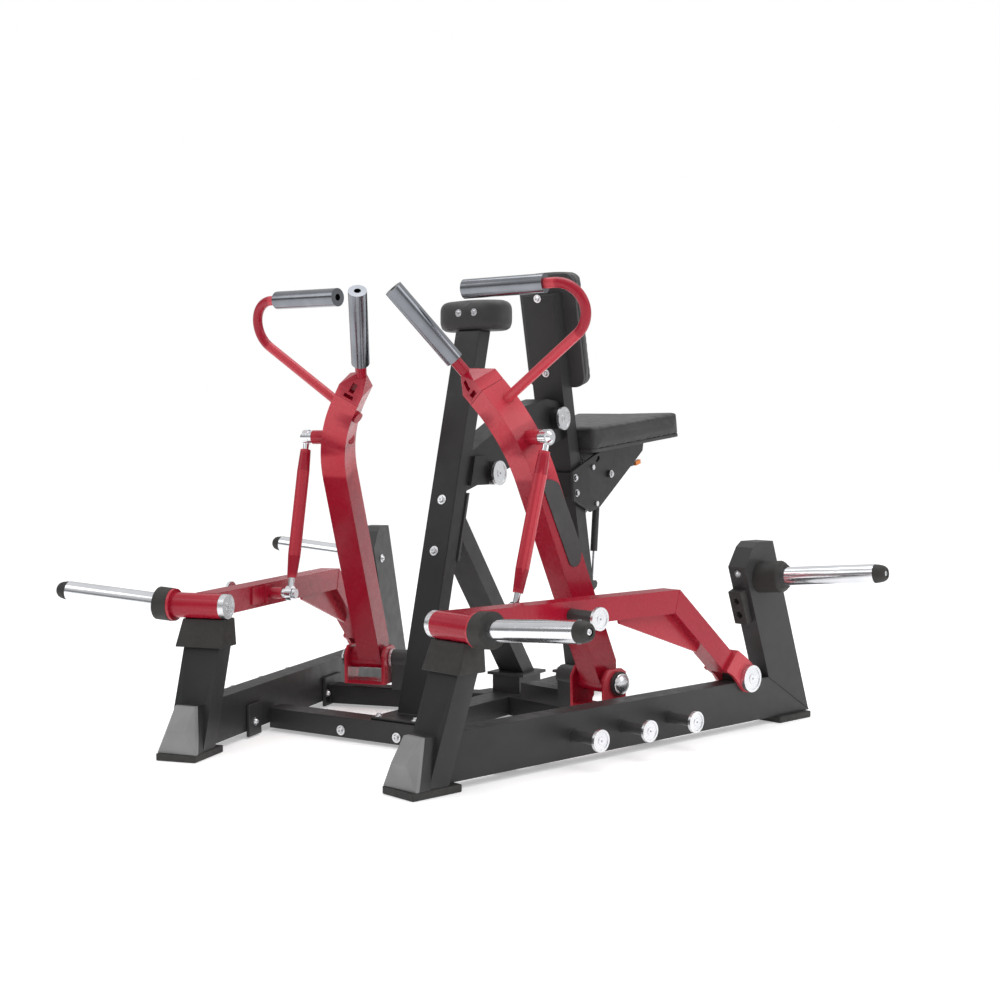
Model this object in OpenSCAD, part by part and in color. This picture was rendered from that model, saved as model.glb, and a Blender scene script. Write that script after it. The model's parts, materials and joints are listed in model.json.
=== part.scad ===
// Plate-loaded seated row machine with a chest pad and two independent lever arms.
// Millimetres. +Z is up, +Y points from the front to the rear, X = 0 is the mirror plane,
// and the origin is on the floor at the middle of the machine's outline.
// Each side is drawn in its own frame: u is outwards from the centre line, v runs along the
// side rail towards the rear, and z is up. That frame is turned by the splay angle.

/* [Side frames] */
// Angle between each side rail and the centre line
splay = 14.7; // [13.5:0.1:15.5]
// Distance of the middle of the rail from the side frame's axis
rail_u = 328; // [322:1:334]
// Width of the rail and the rear post
rail_w = 58; // [50:1:60]
// Top of the rail above the floor
rail_top = 130; // [124:1:132]
// Thickness of the rubber foot pads, and the height of the rail's underside
pad_h = 18; // [14:1:20]
// Width of the front post
post_w = 100; // [90:1:104]
// Lean of both posts from the vertical
post_lean = 19.3; // [17:0.1:21]

/* [Rowing arms] */
// Place of the arm's pivot along the rail
arm_v = 891; // [885:1:897]
// Height of the arm's pivot
arm_z = 148; // [146:1:152]
// Lean of the arm's lower tube from the vertical, towards the front
arm_lean = 24.1; // [22:0.1:26]
// Angle by which the arm bends inwards
arm_bend = 33; // [30:0.5:36]
// Width of the arm's tube across the machine
arm_w = 70; // [64:1:72]
// Depth of the arm's tube from front to rear
arm_d = 79; // [74:1:82]
// Diameter of the hand grips
grip_d = 48; // [40:1:50]

/* [Weight levers] */
// Place of the lever's pivot along the rail
lever_v = 1254; // [1248:1:1260]
// Height of the lever's pivot
lever_z = 139; // [137:1:142]
// Height of the middle of the lever's long tube
lever_mid = 367; // [362:1:372]
// Height of the plate horn's cross tube
cross_z = 364; // [362:1:366]
// Place of the cross tube along the rail
cross_v = 231; // [228:1:234]
// Diameter of the plate sleeves, which take plates with a 50 mm bore
sleeve_d = 50; // [48:0.5:50]
// Upward tilt of the sleeves
sleeve_tilt = 4.8; // [3:0.1:6]

/* [Seat and chest pad] */
// Lean of the rear mast from the vertical, towards the front
mast_lean = 12.7; // [12:0.1:13.5]
// Width of the rear mast
mast_w = 100; // [90:1:104]
// Slope of the seat, which rises to the rear
seat_slope = 7.3; // [5:0.1:9]
// Thickness of the seat cushion
seat_t = 74; // [60:1:80]
// Length of the seat cushion
seat_l = 394; // [380:1:400]
// Half width of the chest pad
chest_hw = 95; // [85:1:110]
// Thickness of the chest pad
chest_t = 53; // [45:1:60]

/* [Hidden] */
$fn = 72;

// Colours
frame_black = [0.10, 0.10, 0.10];
gloss_red = [0.62, 0.03, 0.08];
rubber_black = [0.05, 0.05, 0.05];
bare_steel = [0.80, 0.81, 0.82];
grip_grey = [0.42, 0.44, 0.47];
boot_grey = [0.50, 0.50, 0.50];
pad_black = [0.14, 0.14, 0.14];

// Distance from the front foot line to the middle of the outline
y_mid = 830.5;
// Radial gap of a running fit
run = 0.05;
// Gap between faces that slide past each other
slide = 0.5;

// Rail and posts
rail_in = rail_u - rail_w / 2;
rail_out = rail_u + rail_w / 2;
lean = tan(post_lean);
front_foot = 112;
front_depth = 60;
toe_back = 29;
rear_foot = 1399;
rear_depth = 145;
rear_top = 505;
function front_v(z) = front_foot + z * lean;
function rear_v(z) = rear_foot - z * lean;

// Arm
axle_r = 15;
hub_r = 30;
arm_u = 152;
arm_back = 11;
arm_y0 = arm_back - arm_d / 2;
bend_r = 400;
corner_a = 703;
bend_t = bend_r * tan(arm_bend / 2);
seam_a = 23;
head_a = 33;

// Hand grips, in the side frame: main grip and side grip end points, and the handle's corner
main_low = [22, 503, 983];
main_high = [-35, 353, 1155];
stem_low = main_low - unit(main_high - main_low) * 46;
side_in = [79, 487, 1154];
side_out = [288, 561, 1158];
handle_root = [117.5, 584.5, 879];
handle_corner = side_out + unit(side_out - side_in) * 245;
handle_r = 13;
handle_bend = 70;

// Link between arm and lever
link_u = 233;
link_top = [link_u, 622, 789];
link_low = [link_u, 512, 371];
eye_r = 20;
eye_w = 16;
link_r = 17;
stud_r = 8;
top_bolt_r = 6;
top_bore_r = 12.4;
boss_r = 19;
boss_end = 214;

// Lever
lever_in = rail_in;
lever_out = rail_out;
tube_h = 60;
lever_slope = 40.6;
fitting_t = 12;
lever_pin_r = 12;
cheek_t = 10;
cheek_r = 38;
cross_r = 32;
cross_in = 282;
cross_out = 416;
bend_v = 980;
horn_in = 423.5;
collar_l = 39.6;
horn_l = 306;
cap_l = 30;
peg_r = 14;
peg_l = 88;
disc_t = 8;
peg_disc_r = 27;

// Storage horns
storage_yaw = 9.4;
storage_v = 1320;
storage_z = 408;
storage_l = 256;
storage_collar = 74;

// Base and masts
beam_z0 = 8;
beam_z1 = 62;
front_mast_w = 80;
front_mast_lean = 0.2702;
front_mast_y = 470;
front_mast_d = 54;
mast_foot = 1394;
mast_d = 56;
mast_l = 1230;
rest_z = 1078;
strip_t = 10;
strip_hw = 20;
roller_r = 35;
roller_y = mast_d + strip_t + roller_r + run;
pin_z = 646;
hub_y = [817, 1164];
hub_z = [691, 844];

// ---------- frames and shapes ----------
function unit(v) = v / norm(v);

// Puts a child that points up Z at p, pointing towards q
module aim(p, q) {
    w = unit(q - p);
    helper = abs(w[2]) > 0.95 ? [0, 1, 0] : [0, 0, 1];
    a = unit(cross(helper, w));
    b = cross(w, a);
    multmatrix([[a[0], b[0], w[0], p[0]], [a[1], b[1], w[1], p[1]],
        [a[2], b[2], w[2], p[2]], [0, 0, 0, 1]]) children();
}

// Round bar from p to q
module bar(p, q, r) aim(p, q) cylinder(h = norm(q - p), r = r);

// One side's frame: 1 is the right side and -1 the left
module side(s) mirror([s < 0 ? 1 : 0, 0, 0])
    translate([0, -y_mid, 0]) rotate([0, 0, -splay]) children();

// The same children on both sides
module both_sides() {
    side(1) children();
    side(-1) children();
}

// The centre line's frame, with y measured from the front foot line
module centre() translate([0, -y_mid, 0]) children();

// The rear mast's frame: y is towards the rear from its front face, z along the mast
module on_mast() centre() translate([0, mast_foot, 0]) rotate([mast_lean, 0, 0]) children();

// The arm's frame: origin at its pivot, z along the lower tube, y towards the rear
module on_arm() translate([0, arm_v, arm_z]) rotate([arm_lean, 0, 0]) children();

// Plate with an outline in (y, z), from x0 to x1
module slab(x0, x1, outline) translate([x0, 0, 0])
    rotate([90, 0, 90]) linear_extrude(x1 - x0) polygon(outline);

// Round bar across the frame, from x0 to x1
module pin(x0, x1, y, z, r) translate([x0, y, z]) rotate([0, 90, 0]) cylinder(h = x1 - x0, r = r);

// Box from its lowest to its highest corner
module box(lo, hi) translate(lo) cube(hi - lo);

// Button-head bolt with a washer, standing up Z on a face
module bolt(r = 8) {
    cylinder(h = 2, r = r + 4);
    difference() {
        translate([0, 0, 2]) cylinder(h = 6, r1 = r, r2 = r * 0.72);
        translate([0, 0, 5]) cylinder(h = 4, r = r * 0.42, $fn = 6);
    }
}

// Silver end disc with a shallow rim and a button in the middle, standing up Z
module disc(r, t = disc_t) difference() {
    cylinder(h = t, r = r);
    translate([0, 0, t - 1.5]) difference() {
        cylinder(h = 2, r = r * 0.80);
        translate([0, 0, -1]) cylinder(h = 4, r = r * 0.36);
    }
    translate([0, 0, t - 4]) cylinder(h = 5, r = 3, $fn = 6);
}

// ---------- side frames ----------
module side_frame() color(frame_black) difference() {
    union() {
        slab(rail_u - post_w / 2, rail_u + post_w / 2, [
            [front_v(pad_h), pad_h], [front_v(pad_h) + front_depth, pad_h],
            [front_v(300) + front_depth, 300], [front_v(300), 300]]);
        slab(rail_in, rail_out, [
            [front_v(pad_h) + 30, pad_h], [rear_v(pad_h) + 30, pad_h],
            [rear_v(rail_top) + 30, rail_top], [front_v(rail_top) + 30, rail_top]]);
        slab(rail_in, rail_out, [
            [rear_v(pad_h), pad_h], [rear_v(pad_h) + rear_depth, pad_h],
            [rear_v(rear_top) + rear_depth, rear_top],
            [rear_v(rear_top) + 78, rear_top], [rear_v(490) + 52, 490], [rear_v(437), 437]]);
        pin(rail_in, rail_out, lever_v, lever_z, hub_r);
        toe_slice(toe_back, -3);
    }
    pin(rail_in - 1, rail_out + 1, lever_v, lever_z, lever_pin_r + run);
}

module foot_pads() color(rubber_black) both_sides() {
    box([rail_u - 54, 71.5, 0], [rail_u + 54, 213, pad_h]);
    box([rail_u - 44, 1384, 0], [rail_u + 46, 1526, pad_h]);
}

// Faceted toe in front of each front post, with a knee half way up
module toe() {
    z1 = 129;
    back = [[rail_u - 50, front_v(pad_h) + 2, pad_h], [rail_u + 54, front_v(pad_h) + 2, pad_h],
        [rail_u - 32, front_v(z1) + 2, z1], [rail_u + 30, front_v(z1) + 2, z1]];
    nose = [[rail_u - 54, 75, pad_h], [rail_u + 54, 80, pad_h],
        [rail_u - 27, 76, 73], [rail_u + 26, 77, 73],
        [rail_u - 30, 114, z1 - 1], [rail_u + 26, 118, z1]];
    hull() for (p = concat(back, nose)) translate(p - [0.05, 0.1, 0]) cube(0.1);
}

// Part of the toe between two depths in front of the post's face
module toe_slice(near, far) intersection() {
    toe();
    slab(rail_u - 80, rail_u + 80, [[front_v(0) - near, 0], [front_v(0) - far, 0],
        [front_v(140) - far, 140], [front_v(140) - near, 140]]);
}

module toe_boots() color(boot_grey) both_sides() toe_slice(90, toe_back);

// Rubber caps that the levers rest on, and the bumpers on the rear posts
module rubber_stops() color(rubber_black) both_sides() {
    lip = 263;
    top = cross_z - cross_r;
    difference() {
        intersection() {
            slab(rail_u - 80, rail_u + 80, [[front_v(lip) - 14, lip], [front_v(lip) + 68, lip],
                [front_v(top) + 46, top], [front_v(top) - 12, top]]);
            translate([0, 400, 0]) rotate([90, 0, 0]) linear_extrude(400) polygon([
                [rail_u - 62, lip], [rail_u + 68, lip], [rail_u + 60, top], [rail_u - 56, top]]);
        }
        slab(rail_u - post_w / 2, rail_u + post_w / 2, [
            [front_v(lip - 9), lip - 9], [front_v(lip - 9) + front_depth, lip - 9],
            [front_v(300) + front_depth, 300], [front_v(300), 300]]);
    }
    translate([rail_in + 2, rear_v(378), 378]) rotate([post_lean, 0, 0]) difference() {
        translate([0, -26, -96]) cube([44, 26, 96]);
        for (dz = [-68, -28]) translate([22, -27, dz]) rotate([-90, 0, 0]) cylinder(h = 16, r = 9);
    }
}

// Discs at the ends of the boom's two cross tubes and on the band pegs
module frame_discs() color(bare_steel) {
    centre() for (i = [0, 1]) for (s = [-1, 1])
        translate([62 * s, hub_y[i], hub_z[i]]) rotate([0, 90 * s, 0]) disc(34);
    both_sides() for (v = [588, 761, 935])
        translate([rail_out + peg_l, v, 73]) rotate([0, 90, 0]) disc(peg_disc_r);
}

module band_pegs() color(frame_black) both_sides()
    for (v = [588, 761, 935]) pin(rail_out, rail_out + peg_l, v, 73, peg_r);

// ---------- plate storage ----------
module on_storage() translate([rail_out, storage_v, storage_z])
    rotate([0, 0, storage_yaw]) rotate([0, 90 - sleeve_tilt, 0]) children();

module storage_collars() color(rubber_black) both_sides() difference() {
    on_storage() rotate_extrude() polygon([[0, -30], [43, -30], [43, 60], [40, 66], [36, 69],
        [33, storage_collar], [0, storage_collar]]);
    box([rail_in - 60, 1200, 300], [rail_out, 1500, 520]);
}

module storage_sleeves() color(bare_steel) both_sides()
    on_storage() translate([0, 0, storage_collar]) cylinder(h = storage_l, d = sleeve_d);

module storage_caps() color(rubber_black) both_sides()
    on_storage() translate([0, 0, storage_collar + storage_l]) sleeve_cap();

// Rubber end cap that narrows from the sleeve's edge to a rounded nose with a screw's recess
module sleeve_cap() rotate_extrude() polygon([[0, 0], [sleeve_d / 2 - 0.5, 0],
    [sleeve_d / 2 - 1.2, 8], [21.5, cap_l - 10], [19, cap_l - 4], [15.5, cap_l],
    [9.5, cap_l], [9.5, cap_l - 5], [0, cap_l - 5]]);

// ---------- base ----------
module flange(v0, v1) slab(rail_in - 10, rail_in, [[v0, 3], [v1, 3], [v1, 88], [v0, 88]]);

module front_crossbeam() color(frame_black) {
    difference() {
        centre() box([-420, 407, beam_z0], [420, 477, beam_z1]);
        both_sides() box([rail_in - 10, 0, -5], [rail_in + 400, 1400, 200]);
    }
    both_sides() flange(382, 452);
}

module spine() color(frame_black) centre()
    box([-40, 477, beam_z0], [40, 1472, beam_z1]);

module arm_beams() color(frame_black) {
    difference() {
        both_sides() box([-330, 886, beam_z0], [rail_in - 10, 946, beam_z1]);
        centre() box([-40, 300, -5], [40, 1500, 200]);
    }
    both_sides() flange(854, 972);
}

// Box and bearing tube that carry each arm's pivot, and the ring at the pivot's outer end
module pivot_blocks() color(frame_black) both_sides() difference() {
    union() {
        box([-130, 876, beam_z1], [86, 938, 108]);
        slab(24, 86, [[868, beam_z1], [930, beam_z1], [916, 150], [866, 150]]);
        pin(20, 86, arm_v, arm_z, 28);
        pin(224, 233, arm_v, arm_z, 31);
    }
    pin(10, 240, arm_v, arm_z, axle_r + run);
}

// Arm axles with their washer and dome, and lever axles with their end discs
module pivot_axles() color(bare_steel) both_sides() {
    pin(24, 233, arm_v, arm_z, axle_r);
    difference() {
        pin(87, 94, arm_v, arm_z, 29);
        pin(80, 100, arm_v, arm_z, axle_r - 1);
    }
    translate([233, arm_v, arm_z]) rotate([0, 90, 0]) rotate_extrude() polygon(concat([[0, 0]],
        [for (t = [0:15:90]) [27 * cos(t), 3 + 12 * sin(t)]]));
    pin(rail_in - cheek_t - 2, rail_out + cheek_t + 2, lever_v, lever_z, lever_pin_r);
    translate([rail_out + cheek_t + 1, lever_v, lever_z]) rotate([0, 90, 0]) disc(36.5, fitting_t);
    translate([rail_in - cheek_t - 1, lever_v, lever_z]) rotate([0, -90, 0]) disc(36.5, fitting_t);
}

// ---------- masts ----------
module front_mast() color(frame_black) centre() {
    z0 = beam_z1 + 8;
    slab(-front_mast_w / 2, front_mast_w / 2, [
        [front_mast_y + front_mast_lean * z0, z0],
        [front_mast_y + front_mast_lean * z0 + front_mast_d, z0],
        [front_mast_y + front_mast_lean * rest_z + front_mast_d, rest_z],
        [front_mast_y + front_mast_lean * rest_z, rest_z]]);
    box([-75, 420, beam_z1], [75, 600, z0]);
}

function mast_rear(z) = front_mast_y + front_mast_d + front_mast_lean * z;
function mast_front(z) = mast_foot - z * tan(mast_lean);
function brace_lo(z) = 688 + (502 - z) / 1.3;
function brace_hi(z) = 696 + (571 - z) / 1.3;

module mast_brace() color(frame_black) centre() {
    low = 118;
    slab(-front_mast_w / 2, front_mast_w / 2, [
        [brace_lo(low), low], [brace_hi(low), low],
        [mast_rear(579) + 8, 579], [mast_rear(518) + 8, 518]]);
    slab(-44, 44, [[mast_rear(460), 460], [mast_rear(460) + 8, 460],
        [mast_rear(640) + 8, 640], [mast_rear(640), 640]]);
    box([-60, 950, low - 8], [60, 1075, low]);
    box([-45, 955, beam_z1], [45, 1070, low - 8]);
}

module boom() color(frame_black) centre() {
    difference() {
        union() {
            slab(-36, 36, [[mast_rear(644), 644], [mast_front(785), 785], [mast_front(893), 893],
                [1120, 900], [1003, 878], [mast_rear(750), 750]]);
            slab(-50, 50, [[mast_rear(660), 660], [790, 660], [790, 738], [mast_rear(738), 738]]);
            for (i = [0, 1]) pin(-62, 62, hub_y[i], hub_z[i], 32);
        }
        slab(-70, 70, [[mast_front(700), 700], [mast_front(950), 950],
            [mast_front(950) + 200, 950], [mast_front(700) + 200, 700]]);
    }
}

module rear_mast() color(frame_black) {
    z0 = beam_z1 + 8;
    difference() {
        on_mast() translate([-mast_w / 2, 0, 0]) cube([mast_w, mast_d, mast_l]);
        centre() box([-200, 1200, -100], [200, 1700, z0]);
        on_mast() for (i = [0:11]) translate([0, mast_d - 20, 430 + 30 * i + 6])
            rotate([-90, 0, 0]) cylinder(h = 30, r = 7);
    }
    centre() box([-75, 1340, beam_z1], [75, 1472, z0]);
    on_mast() {
        for (x = [strut_x - 13, strut_x + 7])
            slab(x, x + 6, [[mast_d, 314], [strut_low[0] + 6, 320], [strut_low[0] + 12, 330],
                [strut_low[0] + 6, 340], [mast_d, 346]]);
        pin(strut_x - 13, strut_x + 13, strut_low[0], strut_low[1], strut_pin_r);
    }
}

// Perforated strip on the rear of the mast, which the rollers run on and the pin locks into
module seat_rail() color(frame_black) on_mast() difference() {
    translate([-strip_hw, mast_d, 400]) cube([2 * strip_hw, strip_t, 395]);
    for (i = [0:11]) translate([0, mast_d - 1, 430 + 30 * i + 6])
        rotate([-90, 0, 0]) cylinder(h = strip_t + 2, r = 6);
}

// ---------- upholstery ----------
module hand_rest() color(pad_black) centre() translate([0, 802, rest_z]) hull()
    for (s = [-1, 1]) for (z = [23, 59]) translate([62 * s, 0, z])
        rotate_extrude($fn = 32) translate([24, 0]) circle(23, $fn = 16);

module chest_pad() color(pad_black) on_mast()
    translate([0, mast_d + chest_t, 1116]) rotate([90, 0, 0]) linear_extrude(chest_t) hull()
        for (sx = [-1, 1]) for (sz = [-1, 1])
            translate([sx * (chest_hw - 32), sz * (169 - 32)]) circle(32, $fn = 32);

module on_seat() centre() translate([0, 1298, 742]) rotate([seat_slope, 0, 0]) children();

module seat_cushion() color(pad_black) on_seat() linear_extrude(seat_t) hull() {
    for (s = [-1, 1]) {
        translate([s * 82, 18]) circle(18, $fn = 32);
        translate([s * 172, seat_l - 12]) circle(12, $fn = 32);
    }
}

// ---------- seat carriage ----------
plate_in = mast_w / 2 + 6;
plate_out = plate_in + 8;
release_y = 199;
release_z = 648;
roller_z = [693, 579];
plate_outline = [[-28, 622], [-16, 707], [110, 724], [440, 745], [446, 690], [435, 667],
    [395, 653], [125, 563], [64, 562]];

// Gas strut: its pivots on the mast and on the seat carriage, in the mast's frame
strut_x = 34;
strut_low = [75, 330];
strut_high = [165, 600];
strut_pin_r = 4;
strut_eye_r = 8.5;
strut_len = norm(strut_high - strut_low);
strut_dir = (strut_high - strut_low) / strut_len;

module seat_carriage() color(frame_black) on_mast() {
    difference() {
        union() {
            for (s = [-1, 1]) mirror([s < 0 ? 1 : 0, 0, 0]) slab(plate_in, plate_out, plate_outline);
            box([-plate_in, -16, 628], [plate_in, -2, 704]);
            box([-plate_in, 330, 676], [plate_in, 342, 700]);
        }
        rotate([-mast_lean, 0, 0]) seat_space();
        for (z = roller_z) pin(-plate_out - 1, plate_out + 1, roller_y, z, 6 + run);
        pin(-plate_out - 1, plate_out + 1, release_y, release_z, 6 + run);
        hull() for (d = [-6, 6]) pin(plate_in - 1, plate_out + 1, 140 + d, 709.5 + d / 3, 6);
    }
    difference() {
        box([-plate_in, 128, 636], [plate_in, 144, 656]);
        translate([0, 120, pin_z]) rotate([-90, 0, 0]) cylinder(h = 40, r = 6 + run);
    }
    pin(-plate_in, plate_in, strut_high[0], strut_high[1], strut_pin_r);
    for (s = [-1, 1]) for (p = [[-5, 686], [-6.5, 640]])
        translate([s * plate_out, p[0], p[1]]) rotate([0, 90 * s, 0]) cylinder(h = 5, r = 8);
}

// Room for the seat cushion above the side plates
module seat_space() translate([0, 1298 - mast_foot, 742]) rotate([seat_slope, 0, 0])
    box([-200, -150, -0.3], [200, 500, 200]);

// Roller with its axle and bolt heads
module roller(z) color(bare_steel) on_mast() {
    pin(-strip_hw + 1, strip_hw - 1, roller_y, z, roller_r);
    pin(-plate_out - 1, plate_out + 1, roller_y, z, 6);
    for (s = [-1, 1]) translate([s * (plate_out + 1), roller_y, z])
        rotate([0, 90 * s, 0]) cylinder(h = 5, r = 8);
}

// Point at a distance t along the strut from its lower pivot
function on_strut(t) = [strut_x, strut_low[0] + t * strut_dir[0], strut_low[1] + t * strut_dir[1]];

// The eye turns on the carriage's pin with clearance
module strut_body() color(rubber_black) on_mast() difference() {
    union() {
        bar(on_strut(strut_len - 184), on_strut(strut_len - 14), 11);
        bar(on_strut(strut_len - 20), on_strut(strut_len - 6), 6);
        pin(strut_x - 7, strut_x + 7, strut_high[0], strut_high[1], strut_eye_r + 5);
    }
    bar(on_strut(strut_len - 185), on_strut(strut_len - 28), 4 + run);
    pin(strut_x - 8, strut_x + 8, strut_high[0], strut_high[1], strut_eye_r);
}

module strut_rod() color(bare_steel) on_mast() difference() {
    union() {
        bar(on_strut(4), on_strut(195), 4);
        pin(strut_x - 6, strut_x + 6, strut_low[0], strut_low[1], 9);
    }
    pin(strut_x - 7, strut_x + 7, strut_low[0], strut_low[1], strut_pin_r + run);
}

// Release lever under the seat, which turns on a bolt through the right side plate
module release_lever() color(frame_black) on_mast() {
    pin(plate_in - 12, plate_in - slide, release_y, release_z, 12);
    pin(plate_in - 12, plate_out + 8, release_y, release_z, 6);
    pin(plate_out + slide, plate_out + 8, release_y, release_z, 11);
    slab(plate_in - 12, plate_in - 6, [[release_y, release_z - 8], [release_y, release_z + 8],
        [290, 652], [402, 637], [402, 627], [290, 636]]);
}

module release_tip() color([0.95, 0.45, 0.05]) on_mast()
    box([plate_in - 15, 402, 625], [plate_in - 3, 434, 638]);

// The pin is drawn back here, just clear of the strip
module latch_pin() color(bare_steel) on_mast() translate([0, mast_d + strip_t + 1, pin_z])
    rotate([-90, 0, 0]) {
        cylinder(h = 100, r = 5);
        translate([0, 0, 88]) cylinder(h = 12, r = 9);
    }

// ---------- rowing arms ----------
// Outline of the bent tube, seen from the front in the arm's frame
module arm_outline() {
    translate([arm_u - arm_w / 2, 0]) square([arm_w, corner_a - bend_t]);
    translate([arm_u - bend_r, corner_a - bend_t]) intersection() {
        difference() {
            circle(bend_r + arm_w / 2, $fn = 240);
            circle(bend_r - arm_w / 2, $fn = 240);
        }
        polygon([[0, 0], [2 * bend_r, 0], [2 * bend_r * cos(arm_bend), 2 * bend_r * sin(arm_bend)]]);
    }
    translate([arm_u, corner_a]) rotate(arm_bend)
        translate([-arm_w / 2, bend_t]) square([arm_w, seam_a]);
}

// Frame at the seam, z along the arm's upper end
module on_seam() on_arm() translate([arm_u, arm_back, corner_a]) rotate([0, -arm_bend, 0])
    translate([0, 0, bend_t + seam_a]) children();

module arm(s) color(gloss_red) side(s) difference() {
    union() {
        on_arm() translate([0, arm_y0 + arm_d, 0]) rotate([90, 0, 0])
            linear_extrude(arm_d) arm_outline();
        pin(97, 222, arm_v, arm_z, hub_r);
        for (u = [97, 212]) slab(u, u + 10, [[842, 78], [906, 78], [922, 100], [922, 176],
            [906, 186], [856, 186], [840, 160]]);
        slab(97, 222, [[842, 78], [906, 78], [906, 88], [842, 88]]);
        pin(100, boss_end, link_top[1], link_top[2], boss_r);
        bar(handle_root - unit(handle_corner - handle_root) * 70, handle_root, 16);
    }
    pin(90, 230, arm_v, arm_z, axle_r + run);
    box([100, 922, 60], [210, 1000, 240]);
    pin(150, boss_end + 1, link_top[1], link_top[2], top_bore_r);
    bar(handle_root - unit(handle_corner - handle_root) * 40, handle_corner, handle_r + run);
}

// Cast head that joins the tube to the main grip's stem
module arm_head(s) color(gloss_red) side(s) {
    difference() {
        union() {
            hull() {
                on_seam() box([-arm_w / 2, -arm_d / 2, 1], [arm_w / 2, arm_d / 2, head_a]);
                bar(stem_low, stem_low + unit(main_high - main_low) * 4, 15.5);
            }
            bar(stem_low, main_low, 15);
        }
        on_seam() {
            box([-14, -arm_d / 2 - 1, 8], [12, -arm_d / 2 + 14, 19]);
            slab(-10, 4, [[-arm_d / 2 - 1, 27], [-22, 27], [-14, 54], [-arm_d / 2 - 1, 54]]);
        }
        bar(main_low, main_high, 15.1);
    }
    bar(main_low, main_low + unit(main_high - main_low) * 180, handle_r);
}

// Grip sleeve on a round stem, with a deep bored end
module grip(p, q, stem) difference() {
    bar(p, q, grip_d / 2);
    bar(p - unit(q - p), p + unit(q - p) * stem, handle_r + run);
    bar(q - unit(q - p) * 30, q + unit(q - p), 9);
}

module main_grip(s) color(grip_grey) side(s) grip(main_low, main_high, 182);

module side_grip(s) color(grip_grey) side(s) grip(side_out, side_in, 182);

// Bent tube from the arm's side to the side grip
module side_handle(s) color(gloss_red) side(s) {
    a = unit(handle_corner - handle_root);
    b = unit(side_out - handle_corner);
    turn = acos(a * b);
    tangent = handle_bend * tan(turn / 2);
    p = handle_corner - a * tangent;
    q = handle_corner + b * tangent;
    n = unit(b - a * (a * b));
    w = cross(a, n);
    bar(handle_root - a * 38, p, handle_r);
    multmatrix([[-n[0], a[0], -w[0], p[0] + n[0] * handle_bend],
        [-n[1], a[1], -w[1], p[1] + n[1] * handle_bend],
        [-n[2], a[2], -w[2], p[2] + n[2] * handle_bend], [0, 0, 0, 1]])
        bend_arc(turn);
    bar(q, side_out + b * 180, handle_r);
}

// Torus segment that starts on the +X axis and turns towards +Y
module bend_arc(turn) rotate_extrude(angle = turn) translate([handle_bend, 0]) circle(handle_r);

// Plain plate on the arm's outer face
module badge(s) color(pad_black) side(s) on_arm()
    translate([arm_u + arm_w / 2, 21, 0]) rotate([90, 0, 90]) linear_extrude(3)
        hull() {
            translate([-2, 355]) circle(22, $fn = 32);
            translate([10, 372]) circle(22, $fn = 32);
            translate([2, 545]) circle(24, $fn = 32);
            translate([-10, 560]) circle(20, $fn = 32);
        }

// ---------- weight levers ----------
module lever(s) color(gloss_red) side(s) difference() {
    top = lever_mid + tube_h / 2;
    low = lever_mid - tube_h / 2;
    web = [[1158, 169], [1206, 219]];
    union() {
        slab(lever_in, lever_out, [[cross_v, low], [bend_v - 18, low], web[0],
            [1198, 210.5], [bend_v, top], [cross_v, top]]);
        slab(rail_u - 4, rail_u + 4, [[776, low + 1], [780, low - 14], [1074, 224], [1088, 236],
            [1000, low + 1]]);
        pin(cross_in, cross_out, cross_v, cross_z, cross_r);
        pin(cross_out, horn_in, cross_v, cross_z, 41);
        for (u = [lever_in - cheek_t - slide, lever_out + slide]) cheek(u);
        slab(lever_in - cheek_t - slide, lever_out + cheek_t + slide, [
            web[0], web[1], web[1] + [8, -7], web[0] + [8, -7]]);
        box([lever_in - 8, 484, 345], [lever_in, 540, 394]);
        box([lever_in - 5, 415, 348], [lever_in, 484, 392]);
        pin(255, lever_in, link_low[1], link_low[2], 15);
    }
    pin(lever_in - 30, lever_out + 30, lever_v, lever_z, lever_pin_r + run);
    pin(243, lever_in + 30, link_low[1], link_low[2], stud_r);
}

// Side plate of the lever's clevis
module cheek(u) {
    slab(u, u + cheek_t, [[1158, 169], [1206, 219], [1230, 204], [1247, 193],
        [lever_v + 19, lever_z + 33], [lever_v - 25, lever_z - 28], [1192, 149]]);
    pin(u, u + cheek_t, lever_v, lever_z, cheek_r);
}

// Bright parts on the lever: the cross tube's disc, the peg's disc and the link's stud
module lever_fittings(s) color(bare_steel) side(s) {
    translate([cross_in, cross_v, cross_z]) rotate([0, -90, 0]) disc(cross_r - 0.5, 16);
    translate([lever_out + peg_l, 583, 362]) rotate([0, 90, 0]) disc(28);
    pin(219, lever_in + 30, link_low[1], link_low[2], stud_r - run);
    pin(215, 224, link_low[1], link_low[2], 13);
    pin(242, 255, link_low[1], link_low[2], 12);
}

module lever_peg(s) color(frame_black) side(s) pin(lever_out, lever_out + peg_l, 583, 362, 17);

module on_horn(s) side(s) translate([horn_in, cross_v, cross_z])
    rotate([0, 90 - sleeve_tilt, 0]) children();

module horn_collar(s) color(rubber_black) difference() {
    on_horn(s) translate([0, 0, -8]) cylinder(h = collar_l + 8, r = 42);
    side(s) box([300, 100, 200], [horn_in, 300, 500]);
}

module horn_sleeve(s) color(bare_steel) on_horn(s)
    translate([0, 0, collar_l]) cylinder(h = horn_l - collar_l, d = sleeve_d);

module horn_cap(s) color(rubber_black) on_horn(s) translate([0, 0, horn_l]) sleeve_cap();

// ---------- links ----------
link_dir = unit(link_top - link_low);
tube_low = link_low + link_dir * 42;
tube_high = link_top - link_dir * 36;

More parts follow.
